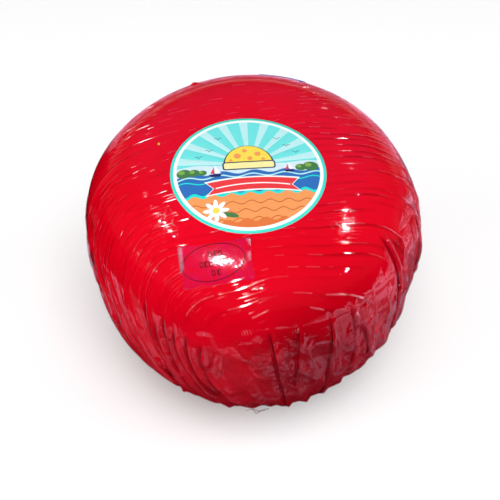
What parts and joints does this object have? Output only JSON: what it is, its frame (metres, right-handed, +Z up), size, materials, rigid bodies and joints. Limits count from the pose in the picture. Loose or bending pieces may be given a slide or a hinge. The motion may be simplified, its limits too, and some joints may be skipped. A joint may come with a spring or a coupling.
{
  "type": "wrapped ball of cheese",
  "caption": "Round red-waxed ball of cheese with flattened top and foot, wrapped in clear film pleated down its sides, with a round label on top.",
  "frame": {"origin": "centre of the resting foot's level, in the middle of the ball's widest points", "axes": "+Z up through the crown, -Y towards the front, where the clear sticker is, +X to the right seen from the front"},
  "size_m": [0.1532, 0.1522, 0.1211],
  "materials": {
    "wax": "smooth red cheese wax seen through clear film",
    "clear_film": "thin clear glossy film",
    "label_print": "printed satin paper",
    "back_print": "printed satin paper"
  },
  "bodies": {
    "root": {"wrapped_cheese": "wax", "label": "label_print", "clear_sticker": "clear_film", "back_label": "back_print"}
  },
  "joints": []
}
